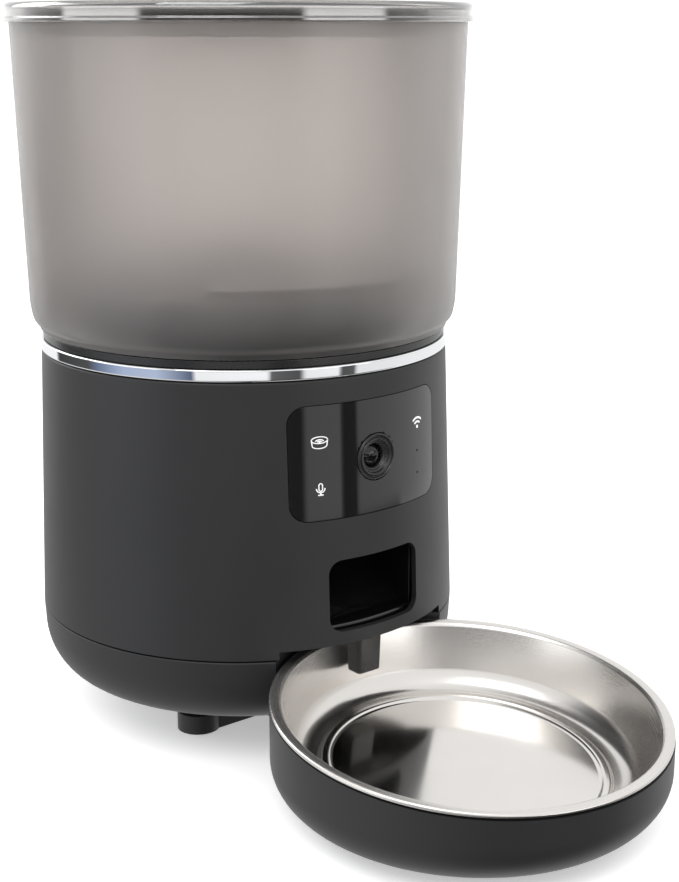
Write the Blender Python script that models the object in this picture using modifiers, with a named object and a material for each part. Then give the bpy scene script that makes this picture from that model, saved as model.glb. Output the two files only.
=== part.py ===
"""Automatic pet feeder: a food tank on a round drive body, docked to a round bowl tray.

Lengths below are in millimetres and the helpers turn them into metres. The feeder's front faces -Y.
Each assembly hangs from an empty on its own axis, so its pieces are placed from that axis.
"""

from math import cos, pi, radians, sin

import bmesh
import bpy
from mathutils import Matrix

# Driving dimensions, in millimetres and degrees
MM = 0.001
GAP = 0.3
STEPS = 48

TRAY_RADIUS = 78.8
BOWL_RIM_RADIUS = 79.0
BOWL_RIM_HEIGHT = 41.3
BOWL_TILT = 5.4
BOWL_ROLL_HEIGHT = 2.4
BOWL_REACH = 147.0
BOWL_FLOOR_DEPTH = 26.5
STEEL = 0.9
TRAY_UNDERSIDE = 1.0
CUP_X = 44.5
CUP_Y = -23.0
CUP_RADIUS = 9.25
CUP_TOP = 9.3
BAR_HALF_WIDTH = 7.5
PAD_RADIUS = 6.0
PAD_REACH = 40.0

BASE_BOTTOM = 19.2
BASE_FLOOR_THICKNESS = 2.5
SEAM_HEIGHT = 49.5
SEAM_GAP = 0.5
SEAM_RADIUS = 91.9
BASE_TOP_RADIUS = 91.5
BASE_FILLET_WIDTH = 18.5
BASE_FILLET_HEIGHT = 23.3
TRAY_BAY_RADIUS = 80.6

BODY_TOP = 163.7
BODY_TOP_RADIUS = 88.0
BODY_WALL = 2.6
NOTCH_HALF_WIDTH = 43.6
NOTCH_TOP = 53.2
RING_BOTTOM = 164.0
RING_TOP = 168.9
RING_RADIUS = 88.3
DECK_TOP = 172.4
DECK_RADIUS = 87.0

PANEL_HALF_WIDTH = 38.4
PANEL_BOTTOM = 106.3
PANEL_TOP = 153.7
PANEL_CORNER = 7.5
LENS_HEIGHT = 129.4
MOUTH_HALF_WIDTH = 23.4
MOUTH_BOTTOM = 58.6
MOUTH_TOP = 89.0
MOUTH_CORNER = 6.0

TANK_BOTTOM = 172.7
TANK_TOP = 303.6
TANK_FOOT_RADIUS = 88.0
TANK_LOW_RADIUS = 92.0
TANK_LOW_HEIGHT = 182.5
TANK_RIM_RADIUS = 95.2
TANK_WALL = 2.4
LID_RADIUS = 98.1
LID_BOTTOM = 299.1
LID_TOP = 306.9

ROTOR_BOTTOM = 175.9
ROTOR_TOP = 196.5
ROTOR_RADIUS = 82.0
SHAFT_RADIUS = 4.0
GEAR_MODULE = 1.2
DRIVE_TEETH = 40
PINION_TEETH = 10
GEAR_BOTTOM = 148.0
GEAR_TOP = 154.0

FEET_REAR = (40.0, 46.0)
SPEAKER_SLOT_X = 46
SPEAKER_SLOT_PITCH = 5
SCREW_HOLE_RADIUS = 1.9
SCREW_PLACES = ((-36, -50), (36, -50), (-20, 65.6), (20, 65.6))
BAY_HALF_WIDTH = 31.0
BAY_FRONT = -13.0
BAY_BACK = 58.0

# The whole object's box is centred on the origin, which puts the body's axis behind it
AXIS_Y = (BOWL_REACH + TRAY_RADIUS - LID_RADIUS) / 2
MOTOR_Y = (DRIVE_TEETH + PINION_TEETH) * GEAR_MODULE / 2


def start_scene():
    """Clear the scene and make the collections for the parts and for the cutters."""
    for old in list(bpy.data.objects):
        bpy.data.objects.remove(old, do_unlink=True)
    made = []
    for title in ("pet_feeder", "cutters"):
        collection = bpy.data.collections.new(title)
        bpy.context.scene.collection.children.link(collection)
        made.append(collection)
    return made


PARTS, CUTTERS = start_scene()


def finish_material(name, colour, roughness, metallic=0.0, alpha=1.0):
    material = bpy.data.materials.new(name)
    material.use_nodes = True
    shader = material.node_tree.nodes["Principled BSDF"]
    shader.inputs["Base Color"].default_value = (*colour, 1.0)
    shader.inputs["Roughness"].default_value = roughness
    shader.inputs["Metallic"].default_value = metallic
    shader.inputs["Alpha"].default_value = alpha
    return material


FINISHES = {
    "matt_shell": finish_material("matt_shell", (0.030, 0.030, 0.033), 0.55),
    "black_plastic": finish_material("black_plastic", (0.012, 0.012, 0.012), 0.40),
    "gloss_black": finish_material("gloss_black", (0.006, 0.006, 0.007), 0.08),
    "chrome": finish_material("chrome", (0.75, 0.75, 0.77), 0.08, 1.0),
    "steel": finish_material("steel", (0.62, 0.60, 0.57), 0.22, 1.0),
    "smoked_clear": finish_material("smoked_clear", (0.20, 0.18, 0.17), 0.10, 0.0, 0.55),
    "frosted_smoke": finish_material("frosted_smoke", (0.42, 0.38, 0.36), 0.35, 0.0, 0.75),
    "lens_glass": finish_material("lens_glass", (0.02, 0.02, 0.03), 0.03, 0.0, 0.6),
    "rubber": finish_material("rubber", (0.020, 0.020, 0.020), 0.80),
    "silicone": finish_material("silicone", (0.55, 0.55, 0.55), 0.50),
    "grey_plastic": finish_material("grey_plastic", (0.30, 0.30, 0.31), 0.50),
    "white_plastic": finish_material("white_plastic", (0.80, 0.80, 0.78), 0.45),
    "board_green": finish_material("board_green", (0.02, 0.16, 0.07), 0.45),
    "spring_steel": finish_material("spring_steel", (0.60, 0.60, 0.60), 0.30, 1.0),
}


def assembly(name, y=0.0, height=0.0, parent=None, x=0.0, tilt=0.0):
    """An empty on an assembly's axis."""
    empty = bpy.data.objects.new(name, None)
    PARTS.objects.link(empty)
    empty.empty_display_size = 20 * MM
    empty.location = (x * MM, y * MM, height * MM)
    empty.rotation_euler = (radians(tilt), 0.0, 0.0)
    empty.parent = parent
    return empty


def add_object(name, data, parent, finish=None):
    """Link a piece, or a cutter where no finish is given, under its assembly."""
    obj = bpy.data.objects.new(name, data)
    obj.parent = parent
    if finish is None:
        CUTTERS.objects.link(obj)
        obj.hide_render = True
        obj.display_type = 'WIRE'
    else:
        PARTS.objects.link(obj)
        data.materials.append(FINISHES[finish])
    return obj


def smooth(mesh):
    mesh.shade_smooth()
    mesh.set_sharp_from_angle(angle=radians(35))


def mesh_object(name, bm, parent, finish=None):
    mesh = bpy.data.meshes.new(name)
    bm.to_mesh(mesh)
    bm.free()
    smooth(mesh)
    return add_object(name, mesh, parent, finish)


def turned(name, profile, parent, finish=None, steps=STEPS, closed=False):
    """A profile of (radius, height) points that runs down its outer side, turned round the Z axis."""
    bm = bmesh.new()
    corners = [bm.verts.new((radius * MM, 0.0, height * MM)) for radius, height in profile]
    for first, second in zip(corners, corners[1:]):
        bm.edges.new((first, second))
    if closed:
        bm.edges.new((corners[-1], corners[0]))
    obj = mesh_object(name, bm, parent, finish)
    screw = obj.modifiers.new("turn", 'SCREW')
    screw.steps = steps
    screw.render_steps = steps
    screw.use_merge_vertices = True
    screw.merge_threshold = 0.00001
    screw.use_smooth_shade = True
    return obj


def cylinder(name, radius, bottom, top, parent, finish=None, x=0.0, y=0.0, steps=24, top_radius=None):
    bm = bmesh.new()
    upper = radius if top_radius is None else top_radius
    place = Matrix.Translation((x * MM, y * MM, (bottom + top) / 2 * MM))
    bmesh.ops.create_cone(bm, cap_ends=True, segments=steps, radius1=radius * MM, radius2=upper * MM,
                          depth=(top - bottom) * MM, matrix=place)
    return mesh_object(name, bm, parent, finish)


def lying_cylinder(name, radius, front, back, parent, finish=None, x=0.0, height=0.0, steps=24):
    """A cylinder along Y from front to back."""
    bm = bmesh.new()
    place = Matrix.Translation((x * MM, (front + back) / 2 * MM, height * MM))
    bmesh.ops.create_cone(bm, cap_ends=True, segments=steps, radius1=radius * MM, radius2=radius * MM,
                          depth=(back - front) * MM, matrix=place @ Matrix.Rotation(pi / 2, 4, 'X'))
    return mesh_object(name, bm, parent, finish)


def box(name, x_span, y_span, z_span, parent, finish=None, rounding=0.0, foot_scale=1.0):
    """A box between the given pairs of limits, which may taper to foot_scale at its bottom."""
    bm = bmesh.new()
    bmesh.ops.create_cube(bm, size=1.0)
    spans = (x_span, y_span, z_span)
    size = [(high - low) * MM for low, high in spans]
    middle = [(high + low) / 2 * MM for low, high in spans]
    for corner in bm.verts:
        taper = foot_scale if corner.co.z < 0 else 1.0
        corner.co.x = corner.co.x * size[0] * taper + middle[0]
        corner.co.y = corner.co.y * size[1] * taper + middle[1]
        corner.co.z = corner.co.z * size[2] + middle[2]
    obj = mesh_object(name, bm, parent, finish)
    if rounding:
        bevel = obj.modifiers.new("round", 'BEVEL')
        bevel.width = rounding * MM
        bevel.segments = 2
        bevel.limit_method = 'ANGLE'
    return obj


def outline_solid(name, points, thickness, placement, parent, finish=None):
    """A flat outline with its given thickness, moved by a placement matrix."""
    curve = bpy.data.curves.new(name, 'CURVE')
    curve.dimensions = '2D'
    curve.fill_mode = 'BOTH'
    curve.extrude = thickness / 2 * MM
    spline = curve.splines.new('POLY')
    spline.points.add(len(points) - 1)
    for point, (across, up) in zip(spline.points, points):
        point.co = (across * MM, up * MM, 0.0, 1.0)
    spline.use_cyclic_u = True
    guide = bpy.data.objects.new(name + "_outline", curve)
    bpy.context.scene.collection.objects.link(guide)
    bpy.context.view_layer.update()
    depsgraph = bpy.context.evaluated_depsgraph_get()
    mesh = bpy.data.meshes.new_from_object(guide.evaluated_get(depsgraph))
    bpy.data.objects.remove(guide, do_unlink=True)
    bm = bmesh.new()
    bm.from_mesh(mesh)
    bpy.data.meshes.remove(mesh)
    bmesh.ops.remove_doubles(bm, verts=bm.verts, dist=0.000001)
    bmesh.ops.transform(bm, matrix=placement, verts=bm.verts)
    bmesh.ops.recalc_face_normals(bm, faces=bm.faces)
    return mesh_object(name, bm, parent, finish)


def change(target, tool, operation):
    modifier = target.modifiers.new(operation.lower(), 'BOOLEAN')
    modifier.operation = operation
    modifier.solver = 'EXACT'
    modifier.object = tool


def cut(target, *tools):
    for tool in tools:
        change(target, tool, 'DIFFERENCE')


def join(target, *tools):
    for tool in tools:
        change(target, tool, 'UNION')


def keep_common(target, tool):
    change(target, tool, 'INTERSECT')


def quarter(centre_radius, centre_height, width, height, steps, start=0.0, end=90.0):
    """Points on an elliptical arc that turns down and in from the outer side."""
    points = []
    for step in range(steps + 1):
        angle = radians(start + (end - start) * step / steps)
        points.append((centre_radius + width * cos(angle), centre_height - height * sin(angle)))
    return points


def rounded_rectangle(half_width, bottom, top, corner, steps=4):
    """Outline points of a rectangle with round corners, anticlockwise from the right side."""
    points = []
    centres = ((half_width - corner, top - corner), (corner - half_width, top - corner),
               (corner - half_width, bottom + corner), (half_width - corner, bottom + corner))
    for index, (across, up) in enumerate(centres):
        for step in range(steps + 1):
            angle = radians(90 * index + 90 * step / steps)
            points.append((across + corner * cos(angle), up + corner * sin(angle)))
    return points


def upright(y):
    """Stands an outline up in the XZ plane at the given Y."""
    return Matrix.Translation((0.0, y * MM, 0.0)) @ Matrix.Rotation(pi / 2, 4, 'X')


def sideways():
    """Stands an outline of (y, z) points up in the YZ plane."""
    return Matrix(((0, 0, 1, 0), (1, 0, 0, 0), (0, 1, 0, 0), (0, 0, 0, 1)))


def body_radius(height):
    """Outer radius of the slightly conical body shell."""
    slope = (SEAM_RADIUS - BODY_TOP_RADIUS) / (BODY_TOP - SEAM_HEIGHT)
    return BODY_TOP_RADIUS + slope * (BODY_TOP - height)


def tank_radius(height):
    """Outer radius of the tank's straight tapered wall."""
    slope = (TANK_RIM_RADIUS - TANK_LOW_RADIUS) / (LID_BOTTOM - TANK_LOW_HEIGHT)
    return TANK_LOW_RADIUS + slope * (height - TANK_LOW_HEIGHT)


def make_tray(tray):
    """The tray that holds the bowl, with the cross bar and cups that the feeder's front feet stand in."""
    fillet = quarter(52.8, 21.0, 25.2, 20.0, 4)
    body = turned("bowl_tray", [(0, 60), (TRAY_RADIUS, 60)] + fillet + [(0, TRAY_UNDERSIDE)],
                  tray, "matt_shell")
    dock_y = BOWL_REACH + CUP_Y
    stem = box("tray_stem", (-15, 15), (55, dock_y), (TRAY_UNDERSIDE, 6.0), tray)
    bar = box("tray_bar", (-CUP_X, CUP_X), (dock_y - BAR_HALF_WIDTH, dock_y + BAR_HALF_WIDTH),
              (TRAY_UNDERSIDE, CUP_TOP - 0.2), tray)
    join(body, stem, bar)
    for side in (-1, 1):
        cup = cylinder("tray_cup", CUP_RADIUS, TRAY_UNDERSIDE, CUP_TOP, tray, None, side * CUP_X, dock_y, 24)
        join(body, cup)
    for side in (-1, 1):
        socket = cylinder("tray_socket", 7.0, 3.0, CUP_TOP + 5, tray, None, side * CUP_X, dock_y, 24)
        cut(body, socket)
    inner_fillet = quarter(52.8, 22.5, 22.6, 19.0, 4)
    cavity = turned("tray_cavity", [(0, 70), (75.8, 70)] + inner_fillet + [(0, 3.5)], tray)
    edge_height = BOWL_RIM_HEIGHT - (BOWL_ROLL_HEIGHT + GAP) / cos(radians(BOWL_TILT))
    edge_plane = assembly("tray_edge_plane", 0, edge_height, tray, tilt=BOWL_TILT)
    cut(body, cavity, box("tray_edge_cut", (-100, 100), (-100, 100), (0, 60), edge_plane))
    for index in range(3):
        angle = radians(-90 + 120 * index)
        cylinder("tray_pad_%d" % (index + 1), PAD_RADIUS, 0.0, TRAY_UNDERSIDE - GAP, tray, "rubber",
                 PAD_REACH * cos(angle), PAD_REACH * sin(angle), 20)
    for side, label in ((-1, "left"), (1, "right")):
        cylinder("dock_pad_" + label, PAD_RADIUS, 0.0, TRAY_UNDERSIDE - GAP, tray, "rubber",
                 side * CUP_X, dock_y, 20)


def make_bowl(bowl):
    """A spun steel bowl with a rolled rim, measured down from its rim plane."""
    floor = -BOWL_FLOOR_DEPTH
    inside = [(0, floor), (53.5, floor), (56.5, floor + 1.0), (59.5, floor - 0.6), (63.5, floor + 0.8),
              (66.8, floor + 5.2), (74.1, -1.8), (75.6, -0.4)]
    rim = [(77.6, 0.0), (BOWL_RIM_RADIUS, -1.2), (77.8, -BOWL_ROLL_HEIGHT), (75.0, -BOWL_ROLL_HEIGHT)]
    underside = floor - 0.6 - STEEL
    outside = [(66.8 + STEEL, floor + 5.0), (63.5 + STEEL, floor + 0.4 - STEEL / 2), (59.5, underside),
               (0, underside)]
    turned("steel_bowl", inside + rim + outside, bowl, "steel")


def make_base(feeder):
    """The pan under the feeder, with a hollow bay in front for the tray."""
    lip_radius = body_radius(SEAM_HEIGHT) - BODY_WALL - 0.6
    lip_top = SEAM_HEIGHT + 3.0
    fillet = quarter(BASE_TOP_RADIUS - BASE_FILLET_WIDTH, BASE_BOTTOM + BASE_FILLET_HEIGHT,
                     BASE_FILLET_WIDTH, BASE_FILLET_HEIGHT, 4)
    seam_edge = SEAM_HEIGHT - SEAM_GAP / 2
    lip = [(0, lip_top), (lip_radius, lip_top), (lip_radius, seam_edge), (SEAM_RADIUS, seam_edge)]
    pan = turned("base_shell", lip + fillet + [(0, BASE_BOTTOM)], feeder, "matt_shell")
    floor_top = BASE_BOTTOM + BASE_FLOOR_THICKNESS
    inner_rise = BASE_FILLET_HEIGHT - BASE_FLOOR_THICKNESS
    inner_fillet = quarter(BASE_TOP_RADIUS - BASE_FILLET_WIDTH, floor_top + inner_rise,
                           BASE_FILLET_WIDTH - 2 * BODY_WALL, inner_rise, 4)
    hollow = turned("base_hollow", [(0, 70), (lip_radius - 2.4, 70)] + inner_fillet + [(0, floor_top)],
                    feeder)
    bay_wall = cylinder("bay_wall", TRAY_BAY_RADIUS + 2.5, 0, 80, feeder, None, 0, -BOWL_REACH, STEPS)
    bay = cylinder("tray_bay", TRAY_BAY_RADIUS, 5, 75, feeder, None, 0, -BOWL_REACH, STEPS)
    cut(hollow, bay_wall)
    cut(pan, hollow, bay)
    below = BASE_BOTTOM - 5
    above = floor_top + 5
    door_hole = box("door_hole", (-BAY_HALF_WIDTH, BAY_HALF_WIDTH), (BAY_FRONT, BAY_BACK),
                    (below, above), feeder)
    cut(pan, door_hole)
    for index in range(4):
        slot_x = SPEAKER_SLOT_X + SPEAKER_SLOT_PITCH * index
        slot = box("speaker_slot", (slot_x - 1, slot_x + 1), (-4, 16), (below, above), feeder)
        cut(pan, slot)
    for screw_x, screw_y in SCREW_PLACES:
        hole = cylinder("screw_hole", SCREW_HOLE_RADIUS, below, above, feeder, None, screw_x, screw_y, 16)
        sink = cylinder("screw_sink", 3.5, below, BASE_BOTTOM + 1.2, feeder, None, screw_x, screw_y, 16)
        cut(pan, hole, sink)
    driver = [(0, 33), (9, 33), (9, 27), (14, 24.5), (14, floor_top + GAP), (0, floor_top + GAP)]
    speaker_axis = assembly("speaker_axis", 6, 0, feeder, SPEAKER_SLOT_X + 1.5 * SPEAKER_SLOT_PITCH)
    turned("speaker", driver, speaker_axis, "black_plastic", 24)


def make_chassis(feeder):
    """The inner plate on four posts that carries the works, and the screws that come up through the base."""
    plate = cylinder("chassis_plate", 83.0, 59.2, 61.7, feeder, "black_plastic", 0, 0, STEPS)
    cut(plate, box("chassis_front_cut", (-27, 27), (-100, -33), (50, 70), feeder),
        cylinder("chassis_bay_cut", TRAY_BAY_RADIUS + 4, 50, 70, feeder, None, 0, -BOWL_REACH, STEPS))
    floor_top = BASE_BOTTOM + BASE_FLOOR_THICKNESS
    for screw_x, screw_y in SCREW_PLACES:
        join(plate, cylinder("chassis_post", 4.0, floor_top + GAP, 60.5, feeder, None, screw_x, screw_y, 16))
    for index, (screw_x, screw_y) in enumerate(SCREW_PLACES):
        cut(plate, cylinder("chassis_hole", SCREW_HOLE_RADIUS, 15, 34.0, feeder, None, screw_x, screw_y, 16))
        axis = assembly("base_screw_axis_%d" % (index + 1), screw_y, 0, feeder, screw_x)
        head_top = BASE_BOTTOM + 0.9
        head_bottom = BASE_BOTTOM - 0.8
        screw = [(0, 32), (1.5, 32), (1.5, head_top), (3.0, head_top), (3.0, head_bottom), (0, head_bottom)]
        turned("base_screw_%d" % (index + 1), screw, axis, "spring_steel", 14)


def make_battery_bay(feeder, door):
    """The box for back-up cells, its contact plates and the cover that closes it from below."""
    floor_top = BASE_BOTTOM + BASE_FLOOR_THICKNESS
    wall = 2.5
    case = box("battery_box", (-BAY_HALF_WIDTH - wall, BAY_HALF_WIDTH + wall),
               (BAY_FRONT - wall, BAY_BACK + wall), (floor_top + GAP, 58.8), feeder, "black_plastic")
    hollow = box("battery_hollow", (-BAY_HALF_WIDTH, BAY_HALF_WIDTH), (BAY_FRONT, BAY_BACK),
                 (10, 56.8), feeder)
    cut(case, hollow)
    for label, side in (("left", -1), ("right", 1)):
        outer = side * (BAY_HALF_WIDTH - GAP)
        inner = side * (BAY_HALF_WIDTH - GAP - 1.0)
        plate = box("battery_contact_" + label, sorted((outer, inner)), (-8, 53), (28, 50), feeder,
                    "spring_steel")
        for nub_y in (5.5, 39.5):
            nub = cylinder("contact_nub", 5.0, 0.0, 3.0, feeder, None, steps=12, top_radius=2.0)
            nub.rotation_euler = (0.0, -side * pi / 2, 0.0)
            nub.location = ((inner + side * 0.5) * MM, nub_y * MM, 39 * MM)
            join(plate, nub)
    cover = box("battery_door", (GAP - BAY_HALF_WIDTH, BAY_HALF_WIDTH - GAP),
                (BAY_FRONT + GAP, BAY_BACK - GAP), (BASE_BOTTOM, floor_top - GAP), door, "matt_shell")
    cut(cover, box("door_grip", (-10, 10), (46, 52), (BASE_BOTTOM - 5, BASE_BOTTOM + 1.2), door))


def make_feet(feeder):
    for side, label in ((-1, "left"), (1, "right")):
        cylinder("front_foot_" + label, 6.4, 3.0 + GAP, BASE_BOTTOM - GAP, feeder, "rubber",
                 side * CUP_X, CUP_Y, 24)
        cylinder("rear_foot_" + label, 7.5, 0.0, BASE_BOTTOM - GAP, feeder, "rubber",
                 side * FEET_REAR[0], FEET_REAR[1], 24, 8.5)


def make_body(feeder):
    """The conical outer shell with its windows for the panel, the food mouth, the tray bay and the jack."""
    bottom = SEAM_HEIGHT + SEAM_GAP / 2
    outline = [(BODY_TOP_RADIUS, BODY_TOP), (body_radius(bottom), bottom),
               (body_radius(bottom) - BODY_WALL, bottom), (BODY_TOP_RADIUS - BODY_WALL, BODY_TOP)]
    shell = turned("body_shell", outline, feeder, "matt_shell", closed=True)
    window = rounded_rectangle(PANEL_HALF_WIDTH, PANEL_BOTTOM, PANEL_TOP, PANEL_CORNER)
    mouth = rounded_rectangle(MOUTH_HALF_WIDTH, MOUTH_BOTTOM, MOUTH_TOP, MOUTH_CORNER)
    cut(shell, outline_solid("panel_window", window, 40, upright(-85), feeder),
        outline_solid("mouth_window", mouth, 40, upright(-85), feeder),
        box("tray_notch", (-NOTCH_HALF_WIDTH, NOTCH_HALF_WIDTH), (-110, -60), (40, NOTCH_TOP), feeder),
        lying_cylinder("jack_hole", 5.6, 70, 110, feeder, None, 0, 68))
    turned("chrome_ring", [(RING_RADIUS, RING_TOP - 0.5), (RING_RADIUS, RING_BOTTOM + 0.5),
                           (RING_RADIUS - 0.5, RING_BOTTOM), (85.7, RING_BOTTOM), (85.7, RING_TOP),
                           (RING_RADIUS - 0.5, RING_TOP)], feeder, "chrome", closed=True)
    deck = turned("top_deck", [(0, DECK_TOP), (DECK_RADIUS, DECK_TOP), (DECK_RADIUS, RING_TOP + GAP),
                               (85.1, RING_TOP + GAP), (85.1, 158), (82.7, 158), (82.7, 169.4), (0, 169.4)],
                  feeder, "black_plastic")
    cut(deck, cylinder("deck_shaft_hole", 6.0, 160, 180, feeder),
        box("deck_food_hole", (-19, 19), (-66, -40), (160, 180), feeder))


def make_bowl_guard(feeder):
    """The plate over the tray bay and the finger that hangs from it into the bowl."""
    bottom = NOTCH_TOP + GAP
    plate = cylinder("bowl_guard", 88.6, bottom, bottom + 2.5, feeder, "black_plastic", steps=STEPS)
    keep_common(plate, cylinder("guard_shape", TRAY_BAY_RADIUS + 3.5, 40, 70, feeder, None,
                                0, -BOWL_REACH, STEPS))
    finger = box("guard_finger", (-6.5, 6.5), (-86.5, -77.3), (35.1, 55.0), feeder, None, 1.0, 0.9)
    join(plate, finger)


def make_chute(feeder):
    """The duct from the deck's food hole down and forward to the mouth."""
    outer = [(-68, 169.0), (-68, 98), (-100, 91.6), (-100, 56.8), (-76, 56.8), (-37.5, 92), (-37.5, 169.0)]
    inner = [(-65.8, 175), (-65.8, 96.2), (-75, 89.4), (-110, 89.4), (-110, 59.4), (-77, 59.4),
             (-39.7, 93), (-39.7, 175)]
    outer_width = 2 * (MOUTH_HALF_WIDTH + 1.6)
    inner_width = 2 * (MOUTH_HALF_WIDTH - 0.6)
    chute = outline_solid("food_chute", outer, outer_width, sideways(), feeder, "gloss_black")
    cut(chute, outline_solid("chute_hollow", inner, inner_width, sideways(), feeder))
    keep_common(chute, cylinder("chute_front", 87.3, 40, 180, feeder, steps=STEPS))


def make_panel(feeder):
    """The curved gloss panel, the camera in it and the boards behind it."""
    low, high = PANEL_BOTTOM - 5, PANEL_TOP + 5
    skin = [(body_radius(high), high), (body_radius(low), low), (body_radius(low) - 2.0, low),
            (body_radius(high) - 2.0, high)]
    panel = turned("control_panel", skin, feeder, "gloss_black", closed=True)
    shape = rounded_rectangle(PANEL_HALF_WIDTH - GAP, PANEL_BOTTOM + GAP, PANEL_TOP - GAP,
                              PANEL_CORNER - GAP)
    keep_common(panel, outline_solid("panel_shape", shape, 40, upright(-85), feeder))
    cut(panel, lying_cylinder("lens_hole", 9.9, -100, -70, feeder, None, 0, LENS_HEIGHT, 32))
    camera = assembly("camera_axis", 0, LENS_HEIGHT, feeder)
    camera.rotation_euler.x = pi / 2
    front = body_radius(LENS_HEIGHT)
    bezel = [(8.2, front + 0.6), (9.6, front - 0.4), (9.6, front - 4.6), (4.9, front - 4.6),
             (4.9, front - 2.2), (6.4, front - 0.9)]
    turned("camera_bezel", bezel, camera, "black_plastic", 32, closed=True)
    turned("camera_lens", [(0, front - 1.2), (2.4, front - 1.6), (4.6, front - 2.9), (4.6, front - 3.9),
                           (0, front - 3.9)], camera, "lens_glass", 24)
    turned("camera_barrel", [(0, front - 4.2), (4.4, front - 4.2), (4.4, front - 4.9), (5.6, front - 4.9),
                             (5.6, front - 10.0), (0, front - 10.0)], camera, "black_plastic", 24)
    box("camera_board", (-14, 14), (-78.6, -77.2), (114, 145), feeder, "board_green")
    box("panel_board", (-32, 32), (-76.6, -75.2), (108, 151), feeder, "board_green")


def gear_outline(teeth, addendum, root_depth):
    """Points of a spur gear with straight-sided teeth, the first tooth centred on the +X axis."""
    pitch = teeth * GEAR_MODULE / 2
    step = 2 * pi / teeth
    stations = ((-0.30, -root_depth), (-0.11, addendum), (0.11, addendum), (0.30, -root_depth))
    points = []
    for tooth in range(teeth):
        for share, rise in stations:
            angle = (tooth + share) * step
            points.append(((pitch + rise) * cos(angle), (pitch + rise) * sin(angle)))
    return points


def make_drive(feeder, shaft, pinion):
    """The gearbox under the deck, its motor, and the shaft that turns the rotor."""
    case = box("gearbox_case", (-29, 29), (-29, 42), (143, 158.5), feeder, "grey_plastic")
    cut(case, box("gearbox_hollow", (-27, 27), (-27, 40), (145.5, 170), feeder),
        cylinder("pinion_hole", 2.2, 135, 150, feeder, None, 0, MOTOR_Y, 16))
    cover = box("gearbox_cover", (-29, 29), (-29, 42), (158.5 + GAP, 160.8), feeder, "grey_plastic")
    cut(cover, cylinder("cover_hole", 5.0, 150, 170, feeder))
    motor_axis = assembly("motor_axis", MOTOR_Y, 0, feeder)
    can = [(0, 142.7), (5, 142.7), (5, 141.2), (12.5, 141.2), (12.5, 111), (4, 111), (4, 109), (0, 109)]
    motor = turned("motor", can, motor_axis, "spring_steel", 24)
    cut(motor, cylinder("motor_bore", 1.6, 139, 150, motor_axis, None, steps=14))

    spindle = turned("output_shaft", [(0, 190), (SHAFT_RADIUS, 190), (SHAFT_RADIUS, 146), (0, 146)],
                     shaft, "spring_steel", 24)
    cut(spindle, box("shaft_flat", (3.0, 10), (-10, 10), (178, 200), shaft))
    thickness = GEAR_TOP - GEAR_BOTTOM
    middle = Matrix.Translation((0.0, 0.0, (GEAR_TOP + GEAR_BOTTOM) / 2 * MM))
    wheel = outline_solid("drive_gear", gear_outline(DRIVE_TEETH, 0.8, 1.2), thickness, middle,
                          shaft, "white_plastic")
    cut(wheel, cylinder("gear_bore", SHAFT_RADIUS + GAP, 140, 160, shaft))
    half_tooth = Matrix.Rotation(pi / 2 + pi / PINION_TEETH, 4, 'Z')
    small = outline_solid("motor_pinion", gear_outline(PINION_TEETH, 0.8, 1.2), thickness,
                          middle @ half_tooth, pinion, "spring_steel")
    join(small, cylinder("pinion_stub", 1.2, 141.0, 150.0, pinion, None, steps=14))


def make_electrics(feeder):
    box("main_board", (-35, 35), (62, 63.6), (66, 126), feeder, "board_green")
    back = body_radius(68)
    jack = lying_cylinder("dc_jack", 5.2, 76, back - 0.3, feeder, "black_plastic", 0, 68)
    cut(jack, lying_cylinder("jack_bore", 3.0, back - 10, back + 10, feeder, None, 0, 68, 20))
    join(jack, lying_cylinder("jack_pin", 0.9, back - 12, back - 2.5, feeder, None, 0, 68, 12))


def make_tank(tank):
    """The tapered tank with a rounded foot and the holes in its floor."""
    foot = [(TANK_LOW_RADIUS, TANK_LOW_HEIGHT), (91.0, 177.6), (89.6, 174.4),
            (TANK_FOOT_RADIUS, TANK_BOTTOM)]
    rim = tank_radius(TANK_TOP)
    outline = [(rim - TANK_WALL, TANK_TOP), (rim, TANK_TOP)] + foot + [(0, TANK_BOTTOM)]
    floor_top = TANK_BOTTOM + 2.6
    inside = [(0, floor_top), (86.2, floor_top), (88.4, 178.8), (TANK_LOW_RADIUS - TANK_WALL, 184.5)]
    shell = turned("food_tank", inside + outline, tank, "frosted_smoke")
    cut(shell, cylinder("tank_shaft_hole", 8.0, 165, 180, tank),
        box("tank_food_hole", (-18, 18), (-65, -41), (165, 180), tank))


def make_outlet_guard(tank):
    """The sector plate over the outlet, which keeps food from falling straight through the rotor."""
    plate = cylinder("outlet_guard", 89.2, 198.0, 200.2, tank, "black_plastic", steps=STEPS)
    wedge = [(0, 0), (-96, -96), (-96, -130), (96, -130), (96, -96)]
    keep_common(plate, outline_solid("guard_wedge", wedge, 30, Matrix.Translation((0, 0, 199 * MM)), tank))
    cut(plate, cylinder("guard_hub_cut", 16.0, 180, 220, tank))


def make_rotor(rotor):
    """The six-vane rotor that meters the food, and the cap on its hub."""
    hub = cylinder("rotor", 13.0, ROTOR_BOTTOM, 203.0, rotor, "black_plastic", steps=30)
    for index in range(3):
        vane = box("rotor_vane", (-ROTOR_RADIUS, ROTOR_RADIUS), (-1.3, 1.3),
                   (ROTOR_BOTTOM, ROTOR_TOP), rotor)
        vane.rotation_euler.z = radians(30 + 60 * index)
        join(hub, vane)
    cut(hub, cylinder("rotor_bore", SHAFT_RADIUS + 0.2, 170, 192, rotor))
    cap = [(0, 209.5), (5, 209.0), (9.5, 207.2), (12.4, 203.0 + GAP), (0, 203.0 + GAP)]
    turned("rotor_cap", cap, rotor, "grey_plastic", 30)


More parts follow.
